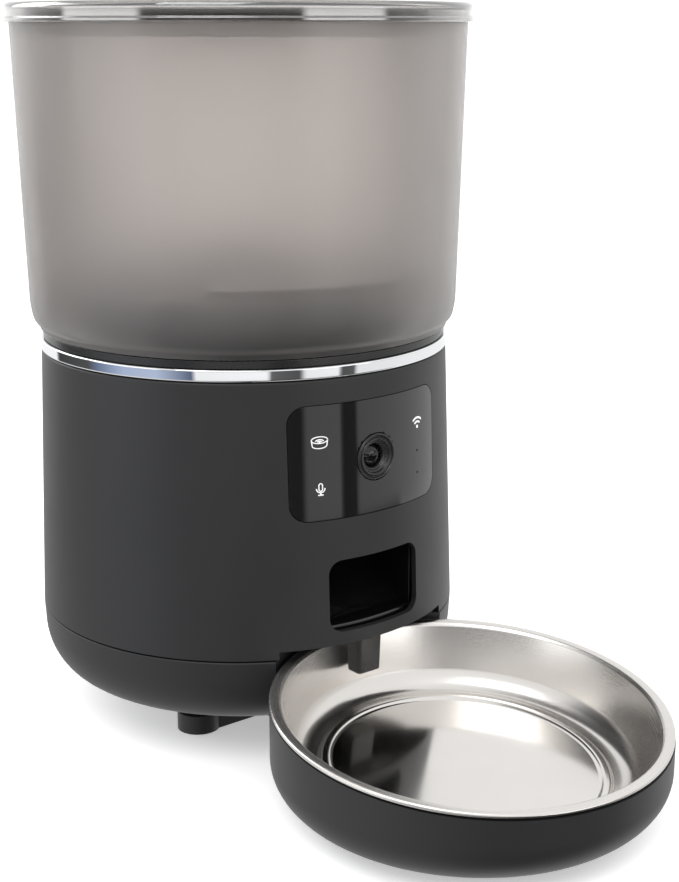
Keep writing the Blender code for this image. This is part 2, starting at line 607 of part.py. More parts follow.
def make_lid(lid, desiccant):
    """The clear lid with its plug lip, seal and desiccant box."""
    inner = tank_radius(LID_BOTTOM) + 0.9
    plug = tank_radius(LID_BOTTOM) - TANK_WALL - 1.4
    underside = TANK_TOP + 0.5
    profile = [(0, LID_TOP), (LID_RADIUS - 1.4, LID_TOP), (LID_RADIUS - 0.3, LID_TOP - 1.0),
               (LID_RADIUS, LID_BOTTOM + 1.2), (LID_RADIUS - 0.5, LID_BOTTOM),
               (inner, LID_BOTTOM), (inner, underside), (plug, underside),
               (plug, 293.5), (plug - 2.0, 293.5), (plug - 2.0, underside), (0, underside)]
    turned("lid", profile, lid, "smoked_clear")
    turned("lid_seal", [(plug + 0.6, 301.5), (plug + 1.1, 299.8), (plug + 0.6, 298.0), (plug + GAP, 298.0),
                        (plug + GAP, 301.5)], lid, "silicone", closed=True)
    turned("desiccant_box", [(0, underside - GAP), (30, underside - GAP), (30, 292), (28, 292),
                             (28, underside - 2.0), (0, underside - 2.0)], lid, "grey_plastic", 32)
    cover = turned("desiccant_cover", [(0, 291.6), (29.6, 291.6), (29.6, 289.6), (0, 289.6)],
                   desiccant, "grey_plastic", 32)
    for index in range(4):
        slot_x = -12 + 8 * index
        cut(cover, box("desiccant_slot", (slot_x - 1.5, slot_x + 1.5), (-14, 14), (280, 300), desiccant))


def main():
    tray = assembly("tray_axis", AXIS_Y - BOWL_REACH)
    feeder = assembly("feeder_axis", AXIS_Y)
    bowl = assembly("bowl_axis", 0, BOWL_RIM_HEIGHT, tray, tilt=BOWL_TILT)
    tank = assembly("tank_axis", parent=feeder)
    rotor = assembly("rotor_axis", parent=tank)
    lid = assembly("lid_axis", parent=tank)
    desiccant = assembly("desiccant_axis", parent=lid)
    shaft = assembly("shaft_axis", parent=feeder)
    pinion = assembly("pinion_axis", MOTOR_Y, parent=feeder)
    door = assembly("battery_door_axis", parent=feeder)
    make_tray(tray)
    make_bowl(bowl)
    make_base(feeder)
    make_chassis(feeder)
    make_battery_bay(feeder, door)
    make_feet(feeder)
    make_body(feeder)
    make_bowl_guard(feeder)
    make_chute(feeder)
    make_panel(feeder)
    make_drive(feeder, shaft, pinion)
    make_electrics(feeder)
    make_tank(tank)
    make_outlet_guard(tank)
    make_rotor(rotor)
    make_lid(lid, desiccant)


main()
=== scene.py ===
from math import cos, pi, radians, sin, sqrt

import bmesh
import bpy
from mathutils import Matrix, Vector


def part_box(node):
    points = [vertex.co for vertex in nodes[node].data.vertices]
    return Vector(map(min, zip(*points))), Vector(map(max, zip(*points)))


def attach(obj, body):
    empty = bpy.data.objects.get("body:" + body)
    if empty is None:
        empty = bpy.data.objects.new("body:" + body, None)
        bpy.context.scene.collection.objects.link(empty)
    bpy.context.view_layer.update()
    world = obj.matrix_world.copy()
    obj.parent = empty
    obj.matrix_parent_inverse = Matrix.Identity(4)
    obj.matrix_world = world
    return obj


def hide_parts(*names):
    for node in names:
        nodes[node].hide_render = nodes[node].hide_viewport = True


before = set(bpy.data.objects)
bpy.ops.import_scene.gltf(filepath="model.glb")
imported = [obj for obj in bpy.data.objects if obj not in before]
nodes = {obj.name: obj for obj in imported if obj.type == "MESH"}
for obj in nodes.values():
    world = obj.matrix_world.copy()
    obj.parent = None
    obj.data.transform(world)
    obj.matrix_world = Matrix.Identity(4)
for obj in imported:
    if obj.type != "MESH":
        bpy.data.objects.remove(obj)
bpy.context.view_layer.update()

mm = 0.001


def spanOf(node):                            # a CAD piece's low and high corner, in millimetres
    low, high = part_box(node)
    return low / mm, high / mm


def middleOf(node):
    low, high = spanOf(node)
    return (low + high) / 2


feederAxis = Vector((0.0, middleOf("chrome_ring").y, 0.0))
padReach = 40.0                              # from the tray's axis to its front pad
trayAxis = Vector((0.0, middleOf("tray_pad_1").y + padReach, 0.0))


class Wire:                                  # a node socket that works in Python sums
    def __init__(self, tree, socket=None):
        self.tree, self.socket = tree, socket

    def add(self, kind, settings=None, sockets=None, out=0):
        node = self.tree.nodes.new("ShaderNode" + kind)
        for key, value in (settings or {}).items():
            if key == "stops":
                stops = node.color_ramp.elements
                while len(stops) < len(value):
                    stops.new(0.5)
                for stop, (place, colour) in zip(stops, value):
                    stop.position, stop.color = place, colour
            else:
                setattr(node, key, value)
        for key, value in (sockets or {}).items():
            if isinstance(value, Wire):
                self.tree.links.new(value.socket, node.inputs[key])
            else:
                node.inputs[key].default_value = value
        return Wire(self.tree, node.outputs[out])

    def sum(self, operation, first, second=0.0):
        return self.add("Math", {"operation": operation}, {0: first, 1: second})

    def __add__(self, other):
        return self.sum("ADD", self, other)

    def __radd__(self, other):
        return self.sum("ADD", other, self)

    def __sub__(self, other):
        return self.sum("SUBTRACT", self, other)

    def __rsub__(self, other):
        return self.sum("SUBTRACT", other, self)

    def __mul__(self, other):
        return self.sum("MULTIPLY", self, other)

    def __rmul__(self, other):
        return self.sum("MULTIPLY", other, self)

    def __truediv__(self, other):
        return self.sum("DIVIDE", self, other)


def grey(value):
    return (value, value, value, 1.0)


def noiseOn(wire, place, scale, detail=3.0, out=0):
    return wire.add("TexNoise", None, {"Vector": place, "Scale": scale, "Detail": detail}, out)


def between(wire, value, low, high, toLow=0.0, toHigh=1.0):
    return wire.add("MapRange", {"clamp": True}, {"Value": value, 1: low, 2: high, 3: toLow, 4: toHigh})


def mixed(wire, factor, first, second):
    return wire.add("Mix", {"data_type": "RGBA"}, {0: factor, 6: first, 7: second}, 2)


finishes = {
    "mattShell": {"colour": (0.0125, 0.0125, 0.0135), "light": (0.0175, 0.0172, 0.0182), "roughness": 0.46,
                  "spread": 0.10, "grain": 2600.0, "bump": 0.10, "depth": 0.00004, "wear": 0.25,
                  "shine": 0.42},
    "satinBlack": {"colour": (0.0095, 0.0095, 0.0098), "light": (0.0150, 0.0150, 0.0150), "roughness": 0.27,
                   "spread": 0.12, "grain": 1700.0, "bump": 0.08, "depth": 0.00005, "wear": 0.2},
    "glossBlack": {"colour": (0.0040, 0.0040, 0.0043), "light": (0.0065, 0.0063, 0.0066), "roughness": 0.05,
                   "spread": 0.05, "grain": 60.0, "bump": 0.03, "depth": 0.00004, "wear": 0.0, "coat": 0.4},
    "rubber": {"colour": (0.0160, 0.0160, 0.0165), "light": (0.0300, 0.0300, 0.0300), "roughness": 0.72,
               "spread": 0.15, "grain": 900.0, "bump": 0.25, "depth": 0.0001, "wear": 0.4},
    "silicone": {"colour": (0.42, 0.42, 0.41), "light": (0.55, 0.55, 0.54), "roughness": 0.45,
                 "spread": 0.12, "grain": 500.0, "bump": 0.1, "depth": 0.0001, "wear": 0.0},
    "greyPlastic": {"colour": (0.20, 0.20, 0.205), "light": (0.27, 0.27, 0.275), "roughness": 0.45,
                    "spread": 0.12, "grain": 1400.0, "bump": 0.12, "depth": 0.00006, "wear": 0.2},
    "whitePlastic": {"colour": (0.72, 0.71, 0.68), "light": (0.82, 0.81, 0.79), "roughness": 0.4,
                     "spread": 0.1, "grain": 1200.0, "bump": 0.08, "depth": 0.00005, "wear": 0.0},
    "whitePrint": {"colour": (0.80, 0.81, 0.82), "light": (0.90, 0.90, 0.90), "roughness": 0.35,
                   "spread": 0.1, "grain": 5000.0, "bump": 0.02, "depth": 0.00001, "wear": 0.0},
    "boardGreen": {"colour": (0.012, 0.085, 0.040), "light": (0.020, 0.150, 0.070), "roughness": 0.35,
                   "spread": 0.15, "grain": 400.0, "bump": 0.1, "depth": 0.00005, "wear": 0.0},
}
made = {}


def startFinish(name):
    material = bpy.data.materials.new(name)
    material.use_nodes = True
    made[name] = material
    tree = material.node_tree
    shader = tree.nodes["Principled BSDF"]
    wire = Wire(tree)
    place = wire.add("TexCoord", out=3)
    return material, shader, wire, place


def feed(wire, shader, **sockets):
    for key, value in sockets.items():
        wire.tree.links.new(value.socket, shader.inputs[key.replace("_", " ")])


def mouldedFinish(name):
    look = finishes[name]
    material, shader, wire, place = startFinish(name)
    cloud = noiseOn(wire, place, 28.0, 5.0)
    grain = noiseOn(wire, place, look["grain"], 2.0)
    rub = between(wire, noiseOn(wire, place, 9.0, 6.0), 0.56, 0.72)
    blend = cloud * 0.75 + rub * look["wear"]
    colour = mixed(wire, blend, (*look["colour"], 1.0), (*look["light"], 1.0))
    rough = look["roughness"] + (cloud - 0.5) * look["spread"] * 1.6 + (grain - 0.5) * look["spread"]
    height = wire.add("Bump", None, {"Strength": look["bump"], "Distance": look["depth"], "Height": grain})
    feed(wire, shader, Base_Color=colour, Roughness=rough, Normal=height)
    shader.inputs["Coat Weight"].default_value = look.get("coat", 0.0)
    shader.inputs["Specular IOR Level"].default_value = look.get("shine", 0.5)
    shader.inputs["Coat Roughness"].default_value = 0.02
    return material


def metalFinish(name, dark, light, low, high, grain):
    material, shader, wire, place = startFinish(name)
    smear = noiseOn(wire, place, 34.0, 6.0)
    drawn = wire.add("Mapping", None, {"Vector": place, "Scale": (1.0, 1.0, 9.0)})
    scratch = noiseOn(wire, drawn, grain, 2.0)
    feed(wire, shader, Base_Color=mixed(wire, smear, dark, light),
         Roughness=between(wire, smear * 0.7 + scratch * 0.3, 0.35, 0.7, low, high),
         Normal=wire.add("Bump", None, {"Strength": 0.04, "Distance": 0.00002, "Height": scratch}))
    shader.inputs["Metallic"].default_value = 1.0
    return material


def bowlSteelFinish():
    look = {"floorRadius": 0.0535, "wallRadius": 0.073, "satin": 0.27, "mirror": 0.11}
    material, shader, wire, place = startFinish("bowlSteel")
    centred = wire.add("Mapping", {"vector_type": "POINT"},
                       {"Vector": place, "Location": (0.0, -trayAxis.y * mm, 0.0)})
    flat = wire.add("VectorMath", {"operation": "MULTIPLY"}, {0: centred, 1: (1.0, 1.0, 0.0)})
    radius = wire.add("VectorMath", {"operation": "LENGTH"}, {0: flat}, 1)
    satin = between(wire, radius, look["floorRadius"], look["wallRadius"])
    smear = noiseOn(wire, place, 30.0, 5.0)
    rings = noiseOn(wire, wire.add("CombineXYZ", None, {0: radius}), 5200.0, 2.0)
    turning = noiseOn(wire, place, 700.0, 2.0)
    rough = look["mirror"] + satin * (look["satin"] - look["mirror"])
    rough = rough + (smear - 0.5) * 0.05 + (rings - 0.5) * 0.05
    colour = mixed(wire, smear * 0.6 + rings * 0.4, (0.68, 0.655, 0.63, 1.0), (0.80, 0.78, 0.755, 1.0))
    height = wire.add("Bump", None, {"Strength": 0.05, "Distance": 0.00002,
                                     "Height": rings * 0.8 + turning * 0.2})
    feed(wire, shader, Base_Color=colour, Roughness=rough, Normal=height)
    shader.inputs["Metallic"].default_value = 1.0
    shader.inputs["Anisotropic"].default_value = 0.55
    return material


def frostedFinish():
    look = {"face": (0.650, 0.612, 0.590, 1.0), "pale": (0.695, 0.654, 0.630, 1.0),
            # painted shade for where the wall turns edge-on to the view
            "edgeShade": (0.34, 0.318, 0.305, 1.0),
            # painted shade near the tank's foot, and the heights over which it fades out
            "foot": (0.22, 0.215, 0.215, 1.0), "footTop": 0.196, "footBottom": 0.178, "rough": 0.52}
    material, shader, wire, place = startFinish("frostedSmoke")
    cloud = noiseOn(wire, place, 18.0, 4.0)
    grain = noiseOn(wire, place, 2200.0, 2.0)
    height = wire.add("SeparateXYZ", None, {0: place}, 2)
    edgeOn = wire.add("LayerWeight", None, {"Blend": 0.5}, 1)
    face = mixed(wire, cloud, look["face"], look["pale"])
    # painted shade: the wall's colour darkens towards its edge-on sides
    body = mixed(wire, between(wire, edgeOn, 0.1, 0.6), face, look["edgeShade"])
    # painted shade: darker low on the tank where the wall faces the view, standing in for the dark parts
    # seen through it
    deep = between(wire, height, look["footTop"], look["footBottom"]) * between(wire, edgeOn, 0.5, 0.15)
    feed(wire, shader, Base_Color=mixed(wire, deep, body, look["foot"]),
         Roughness=look["rough"] + (cloud - 0.5) * 0.08 + (grain - 0.5) * 0.12,
         Normal=wire.add("Bump", None, {"Strength": 0.12, "Distance": 0.00004, "Height": grain}))
    shader.inputs["Transmission Weight"].default_value = 0.92
    shader.inputs["IOR"].default_value = 1.45
    shader.inputs["Coat Weight"].default_value = 0.45
    shader.inputs["Coat Roughness"].default_value = 0.2
    return material


def clearFinish(name, dark, light, rough, sheen=0.0):
    material, shader, wire, place = startFinish(name)
    cloud = noiseOn(wire, place, 22.0, 5.0)
    scratch = noiseOn(wire, place, 420.0, 3.0)
    feed(wire, shader, Base_Color=mixed(wire, cloud, dark, light),
         Roughness=between(wire, scratch * 0.6 + cloud * 0.4, 0.35, 0.75, rough * 0.5, rough * 1.6),
         Normal=wire.add("Bump", None, {"Strength": 0.02, "Distance": 0.00002, "Height": scratch}))
    shader.inputs["Transmission Weight"].default_value = 1.0
    shader.inputs["IOR"].default_value = 1.49
    shader.inputs["Coat Weight"].default_value = sheen
    shader.inputs["Coat IOR"].default_value = 2.1
    return material


for finish in finishes:
    mouldedFinish(finish)
metalFinish("chrome", (0.80, 0.81, 0.83, 1.0), (0.90, 0.91, 0.93, 1.0), 0.02, 0.07, 300.0)
metalFinish("springSteel", (0.42, 0.42, 0.42, 1.0), (0.58, 0.58, 0.57, 1.0), 0.22, 0.40, 500.0)
bowlSteelFinish()
frostedFinish()
clearFinish("smokedClear", (0.36, 0.345, 0.335, 1.0), (0.42, 0.40, 0.385, 1.0), 0.05, 1.0)
clearFinish("lensGlass", (0.030, 0.030, 0.036, 1.0), (0.050, 0.050, 0.060, 1.0), 0.04)
print("finishes:", len(made))


# Shapes are drawn in millimetres round their own axis. A profile point is (radius, height), and a third
# number rounds that corner.
def turned(profile, steps=192, closed=False, segments=4):
    bm = bmesh.new()
    corners = [bm.verts.new((point[0], 0.0, point[1])) for point in profile]
    for first, second in zip(corners, corners[1:]):
        bm.edges.new((first, second))
    if closed:
        bm.edges.new((corners[-1], corners[0]))
    for corner, point in zip(corners, profile):
        if len(point) > 2:
            bmesh.ops.bevel(bm, geom=[corner], offset=point[2], affect="VERTICES", segments=segments,
                            profile=0.5, material=-1)
    bmesh.ops.spin(bm, geom=bm.verts[:] + bm.edges[:], cent=(0, 0, 0), axis=(0, 0, 1), angle=2 * pi,
                   steps=steps, use_merge=True)
    bmesh.ops.remove_doubles(bm, verts=bm.verts, dist=0.0005)
    poles = [v for v in bm.verts if v.co.xy.length < 0.0005
             and all(abs(e.other_vert(v).co.z - v.co.z) < 0.0005 for e in v.link_edges)]
    bmesh.ops.dissolve_verts(bm, verts=poles)
    bmesh.ops.recalc_face_normals(bm, faces=bm.faces)
    return bm


def block(xSpan, ySpan, zSpan, corner=0.0, axis=1, segments=8):
    bm = bmesh.new()
    bmesh.ops.create_cube(bm, size=1.0)
    spans = (xSpan, ySpan, zSpan)
    bmesh.ops.scale(bm, vec=[high - low for low, high in spans], verts=bm.verts)
    bmesh.ops.translate(bm, vec=[(high + low) / 2 for low, high in spans], verts=bm.verts)
    if corner:
        along = [e for e in bm.edges if abs((e.verts[0].co - e.verts[1].co).normalized()[axis]) > 0.9]
        bmesh.ops.bevel(bm, geom=along, offset=corner, affect="EDGES", segments=segments,
                        profile=0.5, material=-1)
    return bm


def rod(radius, low, high, x=0.0, y=0.0, segments=48, topRadius=None, lying=False):
    bm = bmesh.new()
    bmesh.ops.create_cone(bm, cap_ends=True, segments=segments, radius1=radius,
                          radius2=radius if topRadius is None else topRadius, depth=high - low)
    if lying:
        bmesh.ops.rotate(bm, matrix=Matrix.Rotation(pi / 2, 3, "X"), verts=bm.verts)
        bmesh.ops.translate(bm, vec=(x, (low + high) / 2, y), verts=bm.verts)
    else:
        bmesh.ops.translate(bm, vec=(x, y, (low + high) / 2), verts=bm.verts)
    return bm


def slab(points, low, high):
    bm = bmesh.new()
    face = bm.faces.new([bm.verts.new((x, y, low)) for x, y in points])
    grown = bmesh.ops.extrude_face_region(bm, geom=[face])
    moved = [v for v in grown["geom"] if isinstance(v, bmesh.types.BMVert)]
    bmesh.ops.translate(bm, vec=(0, 0, high - low), verts=moved)
    bmesh.ops.recalc_face_normals(bm, faces=bm.faces)
    return bm


def plain(bm, axis=Vector((0.0, 0.0, 0.0)), name="tool"):    # a mesh object, moved to its axis, in metres
    bmesh.ops.translate(bm, vec=axis, verts=bm.verts)
    bmesh.ops.scale(bm, vec=(mm, mm, mm), verts=bm.verts)
    mesh = bpy.data.meshes.new(name)
    bm.to_mesh(mesh)
    bm.free()
    obj = bpy.data.objects.new(name, mesh)
    bpy.context.scene.collection.objects.link(obj)
    return obj


def combine(target, tools, operation="DIFFERENCE"):
    for tool in tools:
        step = target.modifiers.new("step", "BOOLEAN")
        step.object, step.operation, step.solver = tool, operation, "EXACT"
    bake(target)
    weld(target)
    for tool in tools:
        bpy.data.objects.remove(tool)


def bake(target):
    bpy.context.view_layer.update()
    shaped = target.evaluated_get(bpy.context.evaluated_depsgraph_get())
    target.data = bpy.data.meshes.new_from_object(shaped)
    target.modifiers.clear()


def weld(target):                            # closes the hair gaps a cut can leave
    bm = bmesh.new()
    bm.from_mesh(target.data)
    bmesh.ops.remove_doubles(bm, verts=bm.verts, dist=0.002 * mm)
    bmesh.ops.dissolve_degenerate(bm, edges=bm.edges, dist=0.001 * mm)
    bm.to_mesh(target.data)
    bm.free()


def soften(target, width, segments=2, angle=38.0):
    bevel = target.modifiers.new("soft edges", "BEVEL")
    bevel.width, bevel.segments, bevel.limit_method = width * mm, segments, "ANGLE"
    bevel.angle_limit = radians(angle)
    bevel.harden_normals = False
    bake(target)


def piece(target, finish, body, *replaced, angle=32.0):      # a finished shape joins its body
    target.data.materials.clear()
    target.data.materials.append(made[finish])
    target.data.shade_smooth()
    target.data.set_sharp_from_angle(angle=radians(angle))
    even = target.modifiers.new("even shading", "WEIGHTED_NORMAL")
    even.keep_sharp, even.weight = True, 80
    bake(target)
    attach(target, body)
    if replaced:
        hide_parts(*replaced)
    return target


def spun(name, profile, finish, body, *replaced, axis=feederAxis, **options):
    return piece(plain(turned(profile, **options), axis, name), finish, body, *replaced)


# the lid, the tank and what is in it
lidLook = {"plug": 91.4, "plugBottom": 293.5, "topRound": 2.4, "bead": 1.9, "beadReach": 0.6,
           "bottom": 299.1, "wall": 2.0}
lidHigh = spanOf("lid")[1]
tankLow, tankHigh = spanOf("food_tank")
lidRadius = lidHigh.x
lidBottom = lidLook["bottom"]
lidTop = lidHigh.z
lidUnder = tankHigh.z + 0.5

beadTop = lidBottom + lidLook["bead"]
lidSide = lidRadius - lidLook["beadReach"]
plug, plugBottom = lidLook["plug"], lidLook["plugBottom"]
plugInside = plug - lidLook["wall"]
skirtInside = lidRadius - lidLook["wall"]
lidProfile = [(0, lidTop), (lidSide, lidTop, lidLook["topRound"]), (lidSide, beadTop, 0.3),
              (lidRadius, beadTop - 0.3, 0.25), (lidRadius, lidBottom, 0.6), (skirtInside, lidBottom, 0.3),
              (skirtInside, lidUnder, 0.5), (plug, lidUnder, 0.5), (plug, plugBottom, 0.5),
              (plugInside, plugBottom, 0.5), (plugInside, lidUnder, 0.8), (0, lidUnder)]
spun("clearLid", lidProfile, "smokedClear", "lid", "lid")

tankTop = tankHigh.z
rimRadius = tankHigh.x
tankLook = {"wall": 2.4, "floor": 2.6, "lowRadius": 92.0, "lowHeight": 182.5, "footRadius": 88.0}
tankFoot = tankLow.z
outside = [(rimRadius - tankLook["wall"], tankTop, 0.5), (rimRadius, tankTop, 0.7),
           (tankLook["lowRadius"], tankLook["lowHeight"], 3.0), (90.7, 176.9, 1.2), (89.3, 175.3, 0.25),
           (88.8, 175.0, 0.2), (tankLook["footRadius"], tankFoot, 0.4), (0, tankFoot)]
floorTop = tankFoot + tankLook["floor"]
inside = [(0, floorTop), (86.2, floorTop, 1.0), (88.4, 178.8, 1.5),
          (tankLook["lowRadius"] - tankLook["wall"], 184.5, 2.0)]
tank = plain(turned(inside + outside, steps=128), feederAxis, "frostedTank")
combine(tank, [plain(rod(8.0, 165, 180), feederAxis),
               plain(block((-18, 18), (-65, -41), (165, 180), 2.0, 2), feederAxis)])
piece(tank, "frostedSmoke", "tank", "food_tank")

guardLow, guardHigh = spanOf("outlet_guard")
guard = plain(rod(89.2, guardLow.z, guardHigh.z, segments=128), feederAxis, "outletGuard")
sector = slab([(0, 0), (-96, -96), (-96, -130), (96, -130), (96, -96)], 180, 220)
combine(guard, [plain(sector, feederAxis)], "INTERSECT")
combine(guard, [plain(rod(16.0, 170, 230), feederAxis)])
soften(guard, 0.4)
piece(guard, "satinBlack", "tank", "outlet_guard")

rotorLow, rotorHigh = spanOf("rotor")
hub = plain(rod(13.0, rotorLow.z, rotorHigh.z, segments=64), feederAxis, "meteringRotor")
vanes = []
for index in range(3):
    vane = block((-82, 82), (-1.3, 1.3), (rotorLow.z, 196.5))
    bmesh.ops.rotate(vane, matrix=Matrix.Rotation(radians(30 + 60 * index), 3, "Z"), verts=vane.verts)
    vanes.append(plain(vane, feederAxis))
combine(hub, vanes, "UNION")
combine(hub, [plain(rod(4.2, 170, 192), feederAxis)])
soften(hub, 0.5)
piece(hub, "satinBlack", "rotor", "rotor")
capLow, capHigh = spanOf("rotor_cap")
capProfile = [(0, capHigh.z), (6.0, capHigh.z - 0.4, 1.5), (12.4, capLow.z + 1.2, 1.0), (12.4, capLow.z),
              (0, capLow.z)]
spun("rotorCap", capProfile, "greyPlastic", "rotor", "rotor_cap", steps=96)
sealLow, sealHigh = spanOf("lid_seal")
sealLook = {"inside": 91.7, "nose": 0.5}
sealRoot = sealHigh.x - sealLook["nose"]
sealProfile = [(sealLook["inside"], sealLow.z), (sealRoot, sealLow.z, 0.2),
               (sealHigh.x, (sealLow.z + sealHigh.z) / 2, 0.6), (sealRoot, sealHigh.z, 0.2),
               (sealLook["inside"], sealHigh.z)]
spun("lidSeal", sealProfile, "silicone", "lid", "lid_seal", closed=True)
print("tank and lid made")


# the ring, the deck, the body and the base
ringLow, ringHigh = spanOf("chrome_ring")
ringLook = {"inside": 85.7, "round": 0.7}
ringProfile = [(ringHigh.x, ringHigh.z, ringLook["round"]), (ringHigh.x, ringLow.z, ringLook["round"]),
               (ringLook["inside"], ringLow.z), (ringLook["inside"], ringHigh.z)]
spun("chromeRing", ringProfile, "chrome", "feeder", "chrome_ring", closed=True, steps=256)

deckLow, deckHigh = spanOf("top_deck")
deckLook = {"step": 85.1, "inside": 82.7, "under": 169.4, "lift": 0.3}
stepTop = ringHigh.z + deckLook["lift"]
deckProfile = [(0, deckHigh.z), (deckHigh.x, deckHigh.z, 0.5), (deckHigh.x, stepTop),
               (deckLook["step"], stepTop), (deckLook["step"], deckLow.z, 0.5),
               (deckLook["inside"], deckLow.z, 0.5), (deckLook["inside"], deckLook["under"]),
               (0, deckLook["under"])]
deck = plain(turned(deckProfile), feederAxis, "topDeck")
combine(deck, [plain(rod(6.0, 160, 180), feederAxis),
               plain(block((-19, 19), (-66, -40), (160, 180), 2.0, 2), feederAxis)])
piece(deck, "satinBlack", "feeder", "top_deck")

bodyLow, bodyHigh = spanOf("body_shell")
bodyLook = {"topRadius": 88.0, "wall": 2.6, "rows": 40}
bodyRadius = bodyHigh.x


def bodyReach(height):                       # the body's outer radius at a height
    taper = bodyLook["topRadius"] - bodyRadius
    return bodyRadius + taper * (height - bodyLow.z) / (bodyHigh.z - bodyLow.z)


rows = []
for row in range(1, bodyLook["rows"]):
    height = bodyHigh.z + (bodyLow.z - bodyHigh.z) * row / bodyLook["rows"]
    rows.append((bodyReach(height), height))
inner = [(radius - bodyLook["wall"], height) for radius, height in reversed(rows)]
bodyInside, topInside = bodyRadius - bodyLook["wall"], bodyLook["topRadius"] - bodyLook["wall"]
bodyProfile = [(bodyLook["topRadius"], bodyHigh.z, 0.9)] + rows
bodyProfile += [(bodyRadius, bodyLow.z, 0.5), (bodyInside, bodyLow.z, 0.3)]
bodyProfile += inner + [(topInside, bodyHigh.z, 0.3)]
shell = plain(turned(bodyProfile, closed=True, steps=240), feederAxis, "bodyShell")
panelLow, panelHigh = spanOf("control_panel")
panelSeat = {"gap": 0.3, "corner": 7.5}
seatX = (panelLow.x - panelSeat["gap"], panelHigh.x + panelSeat["gap"])
seatZ = (panelLow.z - panelSeat["gap"], panelHigh.z + panelSeat["gap"])
frontCut = (-105, -65)                       # how far a cut through the front wall runs
mouth = {"half": 23.4, "bottom": 58.6, "top": 89.0, "corner": 6.0}
mouthX = (-mouth["half"], mouth["half"])
combine(shell, [
    plain(block(seatX, frontCut, seatZ, panelSeat["corner"]), feederAxis),
    plain(block(mouthX, frontCut, (mouth["bottom"], mouth["top"]), mouth["corner"]), feederAxis),
    plain(block((-43.6, 43.6), (-110, -60), (40, 53.2)), feederAxis),
    plain(rod(5.6, 70, 110, 0, 68, lying=True), feederAxis)])
soften(shell, 0.35)
piece(shell, "mattShell", "feeder", "body_shell")

base = {"bottom": 19.2, "width": 18.5, "height": 23.3, "innerWidth": 13.3, "floor": 2.5, "topRadius": 91.5,
        "bay": 80.6, "reach": feederAxis.y - trayAxis.y}
seam = bodyLow.z - 0.5


def filletPoints(centreRadius, centreHeight, width, height, steps=16):
    found = []
    for step in range(steps + 1):
        angle = pi / 2 * step / steps
        found.append((centreRadius + width * cos(angle), centreHeight - height * sin(angle)))
    return found


baseFloor = base["bottom"]
filletRadius = base["topRadius"] - base["width"]
insideFloor = baseFloor + base["floor"]
innerHeight = base["height"] - base["floor"]
lipRadius = bodyRadius - bodyLook["wall"] - 0.6
curve = filletPoints(filletRadius, baseFloor + base["height"], base["width"], base["height"])
innerCurve = filletPoints(filletRadius, insideFloor + innerHeight, base["innerWidth"], innerHeight)
lipTop = seam + 3.2
panTop = [(0, lipTop), (lipRadius, lipTop), (lipRadius, seam, 0.2), (bodyRadius, seam, 0.7)]
pan = plain(turned(panTop + curve + [(0, baseFloor)], steps=240), feederAxis, "baseShell")
hollowTop = [(0, 70), (lipRadius - 2.4, 70)]
hollow = plain(turned(hollowTop + innerCurve + [(0, insideFloor)], steps=128), feederAxis)
combine(hollow, [plain(rod(base["bay"] + base["floor"], 0, 80, 0, -base["reach"], 192), feederAxis)])
doorLow, doorHigh = spanOf("battery_door")
doorGap = 0.3
doorX = (doorLow.x - doorGap, doorHigh.x + doorGap)
doorY = (doorLow.y - feederAxis.y - doorGap, doorHigh.y - feederAxis.y + doorGap)
cuts = [hollow, plain(rod(base["bay"], 5, 75, 0, -base["reach"], 240), feederAxis),
        plain(block(doorX, doorY, (10, 26)), feederAxis)]
for index in range(4):
    slotX = 46 + 5 * index
    cuts.append(plain(block((slotX - 1, slotX + 1), (-4, 16), (10, 26), 0.95, 2), feederAxis))
screwPlaces = ((-36, -50), (36, -50), (-20, 65.6), (20, 65.6))
for screwX, screwY in screwPlaces:
    cuts.append(plain(rod(1.9, 14, 26, screwX, screwY, 24), feederAxis))
    cuts.append(plain(rod(3.5, 14, 20.4, screwX, screwY, 32), feederAxis))
combine(pan, cuts)
soften(pan, 0.35)
piece(pan, "mattShell", "feeder", "base_shell")
print("body and base made")


# the bowl guard, its finger and the chute
plateLow = spanOf("bowl_guard")[0]
plate = plain(rod(88.6, 53.5, 56.0, segments=192), feederAxis, "bowlGuard")
combine(plate, [plain(rod(84.1, 40, 70, 0, -base["reach"], 192), feederAxis)], "INTERSECT")
finger = block((-6.5, 6.5), (-86.5, -77.3), (plateLow.z, 55.0), 1.6, 2, 3)
for corner in finger.verts:
    if corner.co.z < 50:
        corner.co.x *= 0.9
        corner.co.y = -81.9 + (corner.co.y + 81.9) * 0.9
combine(plate, [plain(finger, feederAxis)], "UNION")
soften(plate, 0.6, 3)
piece(plate, "satinBlack", "feeder", "bowl_guard")


def prism(points, half):
    bm = bmesh.new()
    face = bm.faces.new([bm.verts.new((-half, y, z)) for y, z in points])
    grown = bmesh.ops.extrude_face_region(bm, geom=[face])
    moved = [v for v in grown["geom"] if isinstance(v, bmesh.types.BMVert)]
    bmesh.ops.translate(bm, vec=(2 * half, 0, 0), verts=moved)
    bmesh.ops.recalc_face_normals(bm, faces=bm.faces)
    return bm


chuteOutside = [(-68, 169.0), (-68, 98), (-100, 91.6), (-100, 56.8), (-76, 56.8), (-37.5, 92),
                (-37.5, 169.0)]
chuteInside = [(-65.8, 175), (-65.8, 96.2), (-75, 89.4), (-110, 89.4), (-110, 59.4), (-77, 59.4),
               (-39.7, 93), (-39.7, 175)]
chute = plain(prism(chuteOutside, mouth["half"] + 1.6), feederAxis, "foodChute")
combine(chute, [plain(prism(chuteInside, mouth["half"] - 0.6), feederAxis)])
combine(chute, [plain(rod(87.3, 40, 180, segments=240), feederAxis)], "INTERSECT")
soften(chute, 1.0, 4)
lipLook = {"reach": 85.9, "height": 59.0, "radius": 1.15, "half": 21.6}
turns = [2 * pi * i / 12 for i in range(12)]
circle = [(lipLook["reach"] + lipLook["radius"] * cos(turn),
           lipLook["height"] + lipLook["radius"] * sin(turn)) for turn in turns]
lip = plain(turned(circle, closed=True, steps=240), feederAxis)
lipX = (-lipLook["half"], lipLook["half"])
